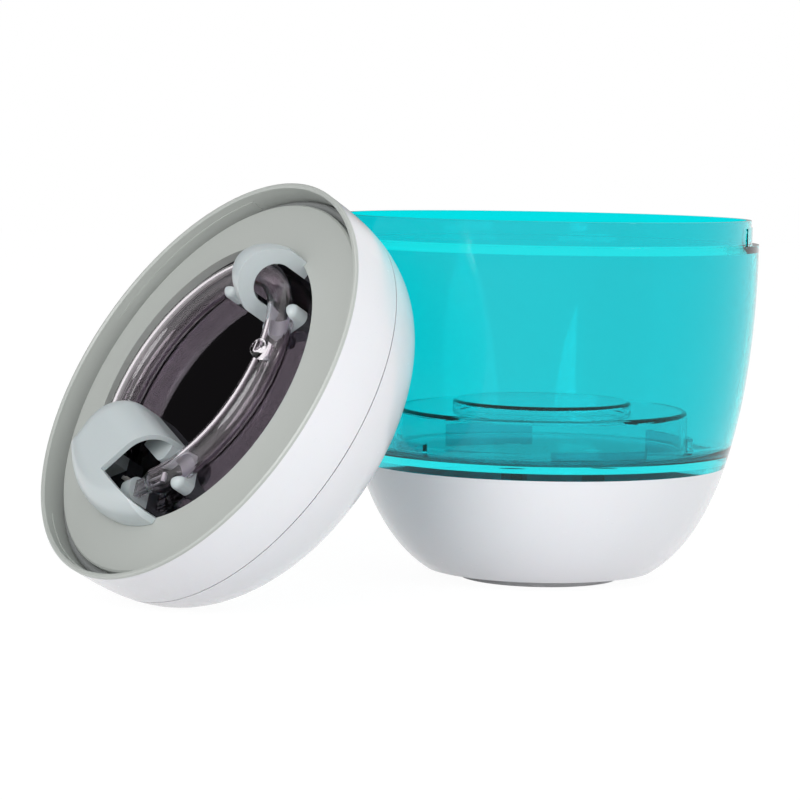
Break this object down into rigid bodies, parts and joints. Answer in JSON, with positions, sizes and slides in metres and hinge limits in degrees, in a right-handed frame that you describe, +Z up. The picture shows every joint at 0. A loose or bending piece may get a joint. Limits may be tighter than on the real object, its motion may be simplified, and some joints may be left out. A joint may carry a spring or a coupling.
{
  "type": "pacifier sterilizer case",
  "caption": "Round lamp sterilizer for pacifiers: clear teal bowl on a white base with a lift-out tray, and its lid with a ring lamp, mirror and button leaning against it.",
  "frame": {"origin": "centre of the rubber foot's resting face, on the table, under the bowl's axis", "axes": "+Z up along the bowl's axis, -Y towards the viewer of the picture, +X to the viewer's right; the lid leans on the bowl's -X, -Y side"},
  "size_m": [0.2107, 0.1856, 0.1184],
  "materials": {
    "teal_clear": "clear glossy teal plastic",
    "white_gloss": "glossy white",
    "grey_plastic": "satin light grey",
    "hood_grey": "satin pale blue grey",
    "dark_rubber": "soft matt",
    "pale_rubber": "soft matt",
    "steel": "satin",
    "mirror": "polished reflector",
    "clear_glass": "clear",
    "board_green": "solder mask",
    "black_plastic": "satin black",
    "ferrite": "matt",
    "coil_tape": "glossy tape",
    "can_alu": "sleeved",
    "clear_plastic": "frosted clear",
    "lead_sleeve": "matt sleeve",
    "plug_plastic": "natural"
  },
  "bodies": {
    "bowl": {"tank": "teal_clear", "base_shell": "white_gloss", "base_screws": "steel", "rubber_foot": "pale_rubber"},
    "tray": {"pacifier_tray": "teal_clear"},
    "button": {"power_button": "grey_plastic"},
    "interlock": {"interlock_pin": "hood_grey"},
    "lid": {"lid_skirt": "white_gloss", "lid_rim_ring": "grey_plastic", "lid_dome": "white_gloss", "lid_seal": "pale_rubber", "lid_screws": "steel", "lamp_plate": "grey_plastic", "mirror": "mirror", "lamp_tube": "clear_glass", "lamp_electrodes": "steel", "lamp_end_blocks": "hood_grey", "lamp_saddles": "hood_grey", "lower_lamp_hood": "hood_grey", "upper_lamp_hood": "hood_grey", "light_ring": "clear_plastic", "button_switch": "black_plastic", "button_board": "board_green", "button_board_screws": "steel", "status_leds": "clear_plastic", "main_board": "board_green", "main_board_screws": "steel", "transformer_core": "ferrite", "transformer_coil": "coil_tape", "capacitors": "can_alu", "driver_chips": "black_plastic", "buzzer": "black_plastic", "board_plugs": "plug_plastic", "interlock_switch": "black_plastic", "power_inlet": "black_plastic", "lamp_leads": "lead_sleeve", "inlet_leads": "lead_sleeve", "link_leads": "lead_sleeve"}
  },
  "joints": [
    {"name": "lid_lift", "type": "slide", "parent": "bowl", "child": "lid", "axis": [-0.6931, -0.4972, 0.5219], "range_m": [0, 0.25]},
    {"name": "tray_lift", "type": "slide", "parent": "bowl", "child": "tray", "axis": [0, 0, 1], "range_m": [0, 0.085]},
    {"name": "button_press", "type": "slide", "parent": "lid", "child": "button", "axis": [-0.6931, -0.4972, 0.5219], "range_m": [0, 0.001], "stiffness_N_per_m": 300, "springref_m": -0.0005},
    {"name": "interlock_press", "type": "slide", "parent": "lid", "child": "interlock", "axis": [0.6931, 0.4972, -0.5219], "range_m": [0, 0.002], "stiffness_N_per_m": 60, "springref_m": -0.001}
  ]
}
